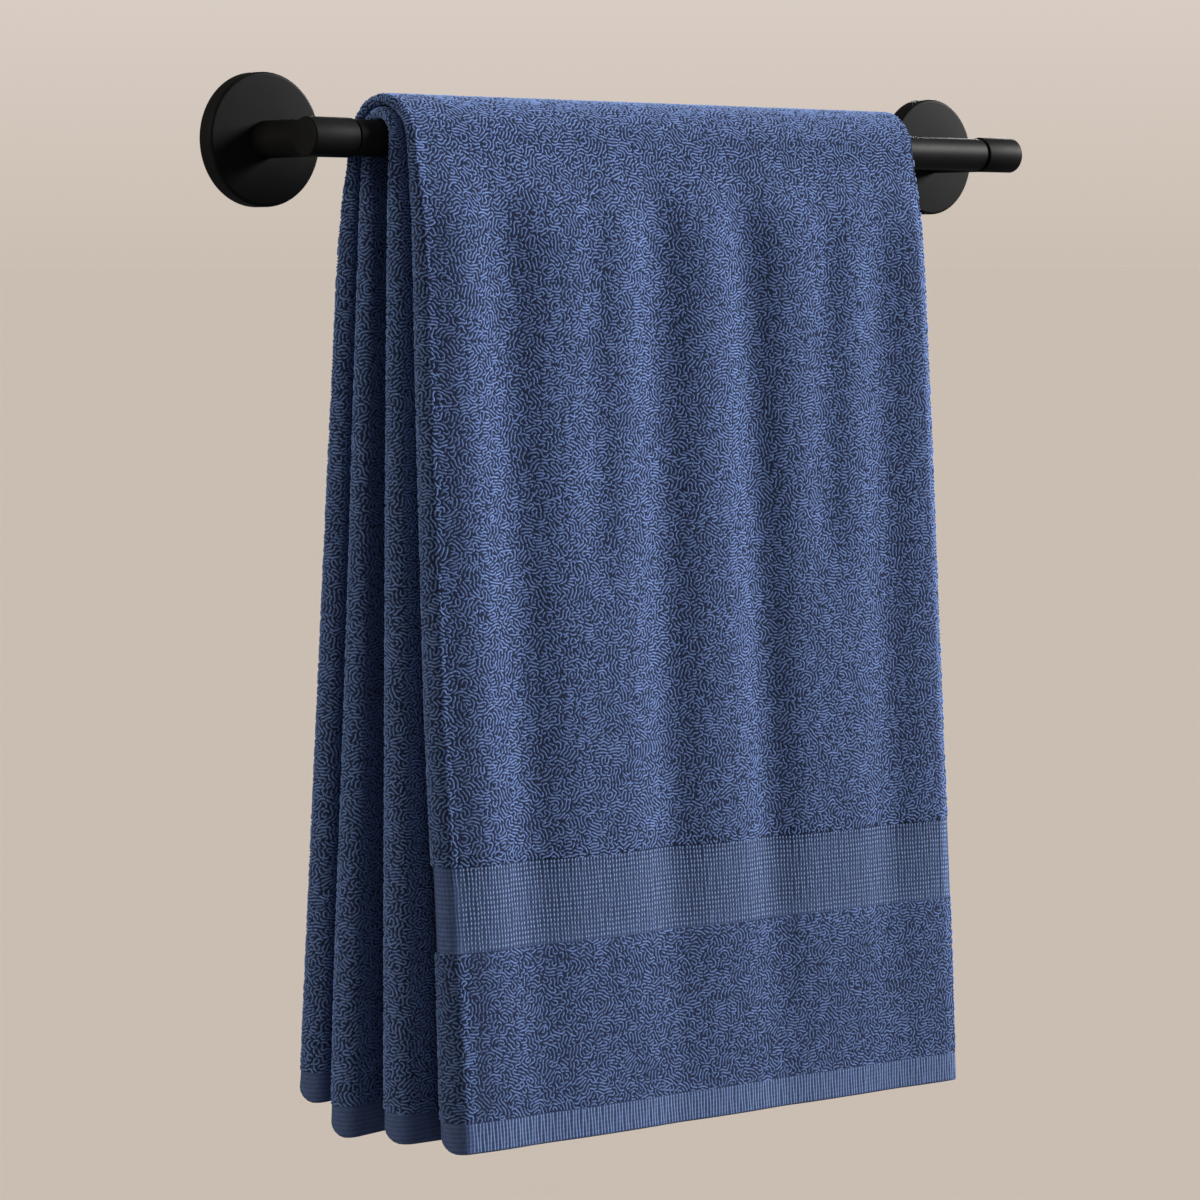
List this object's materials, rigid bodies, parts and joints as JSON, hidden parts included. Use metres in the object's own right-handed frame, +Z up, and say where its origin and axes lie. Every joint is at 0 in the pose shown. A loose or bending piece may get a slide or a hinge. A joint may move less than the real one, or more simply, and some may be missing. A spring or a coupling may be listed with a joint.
{
  "type": "bath towel on wall-mounted towel bar",
  "caption": "Blue terry bath towel folded lengthwise in layers and hung over a matte black wall-mounted towel bar with round wall plates.",
  "frame": {"origin": "centre of the left wall plate's flat back face", "axes": "+Y into the wall, +X along the bar towards the right wall plate, +Z up; the room lies towards -Y"},
  "size_m": [0.521, 0.1021, 0.528],
  "materials": {
    "blue_terry": "uncut terry loops, soft and matt",
    "black_metal": "matte black coating"
  },
  "bodies": {
    "root": {"towel": "blue_terry", "bar": "black_metal", "sleeve_left": "black_metal", "sleeve_right": "black_metal", "post_left": "black_metal", "post_right": "black_metal", "plate_left": "black_metal", "plate_right": "black_metal"}
  },
  "joints": []
}
